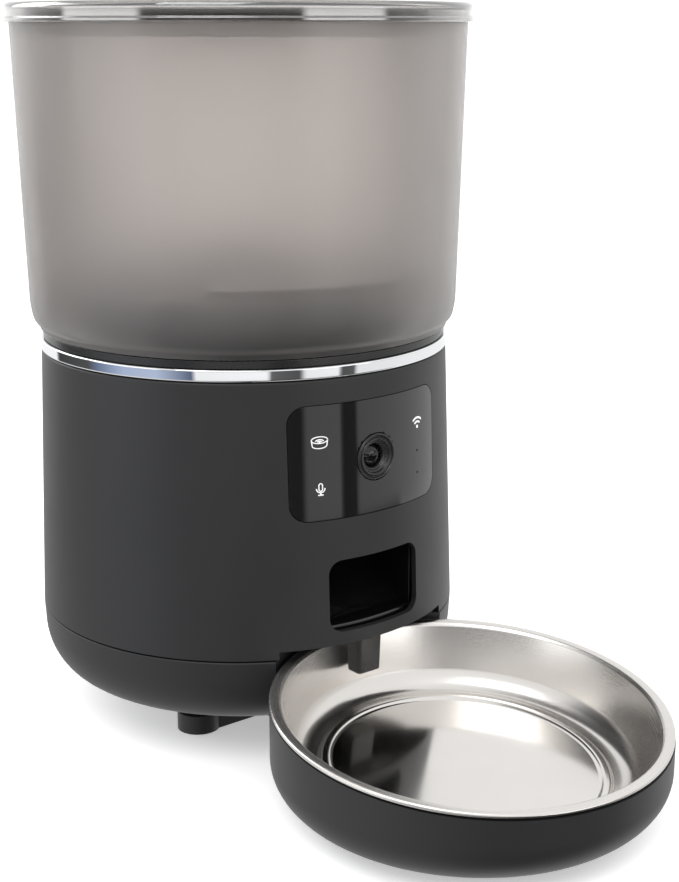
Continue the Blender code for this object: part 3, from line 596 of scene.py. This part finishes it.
combine(lip, [plain(block(lipX, (-95, -60), (50, 70)), feederAxis)], "INTERSECT")
combine(chute, [lip], "UNION")
piece(chute, "glossBlack", "feeder", "food_chute")
print("chute and finger made")


# the panel, the camera and the printed marks
panelLook = {"thickness": 2.0, "corner": 7.2, "rows": 24, "steps": 360, "margin": 4}
pinHoles = ((25.3, 127.1), (25.3, 117.7))
panelRows = []
for row in range(panelLook["rows"] + 1):
    height = panelHigh.z + panelLook["margin"]
    height -= (panelHigh.z - panelLow.z + 2 * panelLook["margin"]) * row / panelLook["rows"]
    panelRows.append((bodyReach(height), height))
panelRows += [(radius - panelLook["thickness"], height) for radius, height in reversed(panelRows)]
panel = plain(turned(panelRows, closed=True, steps=panelLook["steps"]), feederAxis, "controlPanel")
panelX, panelZ = (panelLow.x, panelHigh.x), (panelLow.z, panelHigh.z)
combine(panel, [plain(block(panelX, frontCut, panelZ, panelLook["corner"]), feederAxis)], "INTERSECT")
lensMiddle = middleOf("camera_bezel")
holes = [plain(rod(9.9, -100, -70, 0, lensMiddle.z, 96, lying=True), feederAxis)]
holes += [plain(rod(0.5, -100, -70, x, z, 24, lying=True), feederAxis) for x, z in pinHoles]
combine(panel, holes)
soften(panel, 0.25)
piece(panel, "glossBlack", "feeder", "control_panel")

face = bodyReach(lensMiddle.z)
lying = Matrix.Translation(Vector((0, 0, lensMiddle.z))) @ Matrix.Rotation(pi / 2, 4, "X")


def facing(name, profile, finish, *replaced, closed=False):
    bm = turned(profile, steps=96, closed=closed, segments=3)
    bmesh.ops.transform(bm, matrix=lying, verts=bm.verts)
    return piece(plain(bm, feederAxis, name), finish, "feeder", *replaced)


bezelProfile = [(9.6, face - 4.6), (9.6, face + 0.3, 0.4), (8.9, face + 0.6, 0.25),
                (8.5, face - 0.3, 0.15), (8.1, face - 0.3, 0.15), (7.7, face + 0.45, 0.25),
                (7.0, face + 0.2, 0.2), (6.6, face - 0.9, 0.15), (6.0, face - 1.0, 0.15),
                (5.7, face - 1.6, 0.1), (5.2, face - 1.7, 0.1), (4.9, face - 2.3, 0.1), (4.9, face - 4.6)]
lensProfile = [(0, face - 1.2), (2.6, face - 1.6, 0.5), (4.6, face - 2.9, 0.3), (4.6, face - 3.9),
               (0, face - 3.9)]
facing("cameraBezel", bezelProfile, "satinBlack", "camera_bezel", closed=True)
facing("cameraLens", lensProfile, "lensGlass", "camera_lens")

markPlaces = {"wifiMark": (25.5, 138.8), "voiceMark": (-25.9, 119.7), "bowlMark": (-25.9, 138.5)}


def printed(name, shapes):                   # flat strokes bent round the panel's surface
    x, z = markPlaces[name]
    bm = bmesh.new()
    for shape in shapes:
        mesh = bpy.data.meshes.new("mark")
        shape.to_mesh(mesh)
        shape.free()
        bm.from_mesh(mesh)
        bpy.data.meshes.remove(mesh)
    bmesh.ops.translate(bm, vec=(x, 0, z), verts=bm.verts)
    for corner in bm.verts:
        reach = bodyReach(corner.co.z) + (0.07 if corner.co.y < 0 else -0.12)
        corner.co.y = -sqrt(reach ** 2 - corner.co.x ** 2)
    return piece(plain(bm, feederAxis, name), "whitePrint", "feeder")


def stroke(points, width):
    bm = bmesh.new()
    path = [Vector((x, 0, z)) for x, z in points]
    pairs = []
    for index, point in enumerate(path):
        before, after = path[max(index - 1, 0)], path[min(index + 1, len(path) - 1)]
        along = (after - before).normalized()
        across = Vector((along.z, 0, -along.x)) * width / 2
        pairs.append((bm.verts.new(point + across), bm.verts.new(point - across)))
    for first, second in zip(pairs, pairs[1:]):
        bm.faces.new((first[0], first[1], second[1], second[0]))
    thick = bmesh.ops.extrude_face_region(bm, geom=bm.faces[:])
    moved = [v for v in thick["geom"] if isinstance(v, bmesh.types.BMVert)]
    bmesh.ops.translate(bm, vec=(0, -0.2, 0), verts=moved)
    for corner in bm.verts:
        corner.co.y = -0.1 if corner in set(moved) else 0.1
    bmesh.ops.recalc_face_normals(bm, faces=bm.faces)
    return bm


def arc(radiusX, radiusZ, start, end, x=0.0, z=0.0, steps=16):
    return [(x + radiusX * cos(radians(start + (end - start) * i / steps)),
             z + radiusZ * sin(radians(start + (end - start) * i / steps))) for i in range(steps + 1)]


def dot(radius, x, z):
    bm = bmesh.new()
    bmesh.ops.create_cone(bm, cap_ends=True, segments=20, radius1=radius, radius2=radius, depth=0.2)
    bmesh.ops.rotate(bm, matrix=Matrix.Rotation(pi / 2, 3, "X"), verts=bm.verts)
    bmesh.ops.translate(bm, vec=(x, 0, z), verts=bm.verts)
    return bm


printed("wifiMark", [stroke(arc(4.5, 4.5, 48, 132, 0, -2.4), 0.8),
                     stroke(arc(2.8, 2.8, 48, 132, 0, -2.4), 0.8), dot(0.7, 0, -1.7)])
capsule = arc(0.75, 0.9, 0, 180, 0, 1.3) + [(-0.75, 0.2)] + arc(0.75, 0.9, 180, 360, 0, 0.0) + [(0.75, 1.3)]
printed("voiceMark", [stroke(capsule, 0.42), stroke(arc(1.75, 1.7, 180, 360, 0, 0.2), 0.45),
                      stroke([(0, -1.4), (0, -2.4)], 0.5), stroke([(-1.1, -2.5), (1.1, -2.5)], 0.5)])
dish = [(-3.3, 1.0), (-3.0, -1.1)] + arc(3.0, 1.2, 180, 360, 0, -1.1) + [(3.3, 1.0)]
printed("bowlMark", [stroke(arc(3.3, 1.35, 0, 360, 0, 1.1, 32), 0.38), stroke(dish, 0.38),
                     stroke(arc(1.9, 1.2, 25, 155, 0, 0.1), 0.42),
                     stroke(arc(1.0, 0.7, 25, 155, 0, 0.0), 0.42), dot(0.36, 0, 0.1)])
print("panel made")


# the tray and the bowl
trayLow = spanOf("bowl_tray")[0]
trayLook = {"width": 26.0, "height": 20.0, "radius": 78.8, "tilt": 5.4, "rim": 41.3, "roll": 2.4,
            "cup": 44.5, "dock": 124.0}
cup, dock = trayLook["cup"], trayLook["dock"]
trayRadius = trayLook["radius"]
trayBottom = trayLow.z
traySweep = filletPoints(trayRadius - trayLook["width"], trayBottom + trayLook["height"],
                         trayLook["width"], trayLook["height"])
trayBody = turned([(0, 60), (trayRadius, 60)] + traySweep + [(0, trayBottom)], steps=240)
trayShell = plain(trayBody, trayAxis, "bowlTray")
joins = [plain(block((-15, 15), (50, dock + 1), (trayBottom + 0.2, 6.0)), trayAxis),
         plain(block((-cup, cup), (dock - 7.5, dock + 7.5), (trayBottom + 0.1, 9.1)), trayAxis)]
for side in (-1, 1):
    joins.append(plain(rod(9.25, trayBottom, 9.3, side * cup, dock, 64), trayAxis))
combine(trayShell, joins, "UNION")
edgeHeight = trayLook["rim"] - (trayLook["roll"] + 0.3) / cos(radians(trayLook["tilt"]))
lidCut = block((-120, 120), (-120, 120), (0, 60))
bmesh.ops.rotate(lidCut, matrix=Matrix.Rotation(radians(trayLook["tilt"]), 3, "X"), verts=lidCut.verts)
bmesh.ops.translate(lidCut, vec=(0, 0, edgeHeight), verts=lidCut.verts)
cavity = turned([(0, 70), (75.8, 70)] + filletPoints(52.8, 22.5, 22.6, 19.0) + [(0, 3.5)], steps=192)
trayCuts = [plain(cavity, trayAxis), plain(lidCut, trayAxis)]
for side in (-1, 1):
    trayCuts.append(plain(rod(7.0, 3.0, 15, side * cup, dock, 64), trayAxis))
combine(trayShell, trayCuts)
soften(trayShell, 0.6, 3)
piece(trayShell, "mattShell", "tray", "bowl_tray")

bowlLook = {"floor": -26.5, "gauge": 0.9}    # the floor is below the rim
depth = bowlLook["floor"]
steelCurve = {"reach": 60.5, "level": -15.0, "width": 9.5, "drop": 12.0, "end": 69.0, "steps": 12}


def steelSweep(grow):                        # the deep curve from the floor up to the wall
    found = []
    for step in range(steelCurve["steps"] + 1):
        angle = radians(steelCurve["end"] * step / steelCurve["steps"])
        found.append((steelCurve["reach"] + (steelCurve["width"] + grow) * sin(angle),
                      steelCurve["level"] - (steelCurve["drop"] + grow) * cos(angle)))
    return found


steelInside = [(0, depth), (53.2, depth, 0.8), (54.6, depth + 0.9, 0.5), (57.0, depth + 0.9, 0.6),
               (58.4, depth - 0.5, 0.5)]
steelInside += steelSweep(0.0) + [(74.1, -1.6, 0.4), (75.2, -0.5, 0.4)]
steelRim = [(77.4, 0.0, 0.9), (79.0, -0.6, 0.7), (78.9, -2.0, 0.5), (77.6, -2.4, 0.4), (75.0, -2.4, 0.2)]
steelOutside = steelSweep(bowlLook["gauge"])[::-1] + [(58.6, depth - 1.4, 0.4), (0, depth - 1.4)]
bowl = turned(steelInside + steelRim + steelOutside, steps=256, segments=5)
tiltTurn = Matrix.Rotation(radians(trayLook["tilt"]), 4, "X")
tilting = Matrix.Translation(Vector((0, 0, trayLook["rim"]))) @ tiltTurn
bmesh.ops.transform(bowl, matrix=tilting, verts=bowl.verts)
piece(plain(bowl, trayAxis, "steelBowl"), "bowlSteel", "bowl", "steel_bowl", angle=50.0)
print("tray and bowl made")


# CAD pieces that keep their shape
keptFinish = {
    "tray_pad_1": "rubber", "tray_pad_2": "rubber", "tray_pad_3": "rubber", "dock_pad_left": "rubber",
    "dock_pad_right": "rubber", "front_foot_left": "rubber", "front_foot_right": "rubber",
    "rear_foot_left": "rubber", "rear_foot_right": "rubber", "battery_box": "satinBlack",
    "battery_contact_left": "springSteel", "battery_contact_right": "springSteel",
    "chassis_plate": "satinBlack", "speaker": "satinBlack", "camera_barrel": "satinBlack",
    "camera_board": "boardGreen", "panel_board": "boardGreen", "main_board": "boardGreen",
    "dc_jack": "satinBlack", "gearbox_case": "greyPlastic", "gearbox_cover": "greyPlastic",
    "motor": "springSteel", "battery_door": "mattShell", "output_shaft": "springSteel",
    "drive_gear": "whitePlastic", "motor_pinion": "springSteel", "desiccant_box": "greyPlastic",
    "desiccant_cover": "greyPlastic", "base_screw_1": "springSteel", "base_screw_2": "springSteel",
    "base_screw_3": "springSteel", "base_screw_4": "springSteel"}
for name, finish in keptFinish.items():
    slots = nodes[name].material_slots
    for index in range(len(slots)):
        slots[index].material = made[finish]
missing = [name for name, node in nodes.items() if not node.hide_render and name not in keptFinish]
print("CAD pieces without a finish:", missing)


# the floor, the light and the camera
floorBm = bmesh.new()
bmesh.ops.create_circle(floorBm, cap_ends=True, segments=96, radius=60.0)
floorMesh = bpy.data.meshes.new("floor")
floorBm.to_mesh(floorMesh)
floorBm.free()
floor = bpy.data.objects.new("floor", floorMesh)
bpy.context.scene.collection.objects.link(floor)
floorMaterial, floorShader, floorWire, floorPlace = startFinish("paleFloor")
floorColour = mixed(floorWire, noiseOn(floorWire, floorPlace, 3.0), grey(0.91), grey(0.93))
feed(floorWire, floorShader, Base_Color=floorColour,
     Roughness=between(floorWire, noiseOn(floorWire, floorPlace, 40.0), 0.3, 0.7, 0.85, 0.95))
floorShader.inputs["Specular IOR Level"].default_value = 0.1
floorShader.inputs["Emission Color"].default_value = grey(1.0)
floorShader.inputs["Emission Strength"].default_value = 0.4
floorMesh.materials.append(floorMaterial)

floor.visible_glossy = False                # reflections see the studio, not the paper
world = bpy.data.worlds.new("studio")
bpy.context.scene.world = world
world.use_nodes = True
room = Wire(world.node_tree)
toward, across = (-0.585, -0.811, 0.0), (0.811, -0.585, 0.0)
outlook = room.add("TexCoord", out=0)
ahead = room.add("VectorMath", {"operation": "DOT_PRODUCT"}, {0: outlook, 1: toward}, 1)
aside = room.add("VectorMath", {"operation": "DOT_PRODUCT"}, {0: outlook, 1: across}, 1)
turnShare = room.sum("ARCTAN2", aside, ahead) / (2 * pi) + 0.5
upward = room.add("SeparateXYZ", None, {0: outlook}, 2)


def bands(stops):                            # what the room shows at each angle from its front
    coloured = [(0.5 + angle / 360, grey(value) if isinstance(value, float) else (*value, 1.0))
                for angle, value in stops]
    return room.add("ValToRGB", {"stops": coloured}, {0: turnShare})


walls = bands([(-180, 1.25), (-128, 1.35), (-112, 0.6), (-93, 0.3), (-89, 2.6), (-50, 2.6), (-46, 0.12),
               (-10, 0.07), (28, 0.1), (32, 2.6), (70, 2.4), (74, 0.3), (100, 0.6), (130, 0.8),
               (160, 1.25), (180, 1.25)])
table = bands([(-180, 0.95), (-129, 0.95), (-126, 0.05), (-96, 0.08), (-88, (0.16, 0.2, 0.3)),
               (-70, (0.4, 0.47, 0.62)), (-50, (0.45, 0.52, 0.66)), (-29, (0.1, 0.13, 0.2)),
               (-27, 0.9), (12, 0.95), (14, 0.12), (30, 0.08), (33, 0.85), (52, 0.9), (54, 0.08),
               (62, 0.1), (64, 0.8), (180, 0.95)])
front = bands([(-180, 0.8), (-60, 0.7), (-20, 0.35), (5, 0.06), (40, 0.03), (56, 0.05), (60, 0.14),
               (63, 0.04), (70, 0.12), (74, 0.05), (92, 0.08), (95, 0.95), (180, 0.95)])
low = mixed(room, between(room, upward, -0.255, -0.238), front, table)
level = mixed(room, between(room, upward, -0.11, -0.07), low, walls)
top = mixed(room, between(room, upward, 0.03, 0.13), level, grey(0.95))
seen = mixed(room, room.add("LightPath"), top, grey(1.2))    # the backdrop itself is plain white
room.tree.links.new(seen.socket, room.tree.nodes["Background"].inputs["Color"])
room.tree.nodes["Background"].inputs["Strength"].default_value = 1.1

studioLights = {
    "keyPanel": {"place": (-0.9, -0.5, 1.5), "aim": (0, 0.05, 0.1), "size": 1.0, "watts": 9.0,
                 "mirrored": True},
    "rightPanel": {"place": (1.3, -0.1, 0.6), "aim": (0, 0.06, 0.15), "size": 1.0, "watts": 7.0,
                   "mirrored": False},
    "backPanel": {"place": (-0.6, 1.4, 0.9), "aim": (0, 0.06, 0.15), "size": 1.0, "watts": 8.0,
                  "mirrored": True},
}
for name, look in studioLights.items():
    lamp = bpy.data.lights.new(name, "AREA")
    lamp.size, lamp.energy = look["size"], look["watts"]
    lampObject = bpy.data.objects.new(name, lamp)
    lampObject.location = look["place"]
    lampObject.visible_glossy = look["mirrored"]
    facingWay = Vector(look["aim"]) - Vector(look["place"])
    lampObject.rotation_euler = facingWay.to_track_quat("-Z", "Y").to_euler()
    bpy.context.scene.collection.objects.link(lampObject)

cameraLook = {"place": (-0.4071, -0.5005, 0.2991), "dip": 0.2553, "turn": -0.6847, "lens": 65.56}
viewer = bpy.data.objects.new("studioCamera", bpy.data.cameras.new("studioCamera"))
viewer.location = cameraLook["place"]
viewer.rotation_euler = (pi / 2 - cameraLook["dip"], 0.0, cameraLook["turn"])
viewer.data.lens = cameraLook["lens"]
viewer.data.clip_start = 0.01
bpy.context.scene.collection.objects.link(viewer)
bpy.context.scene.camera = viewer
bpy.context.scene.view_settings.view_transform = "Standard"
print("studio made")
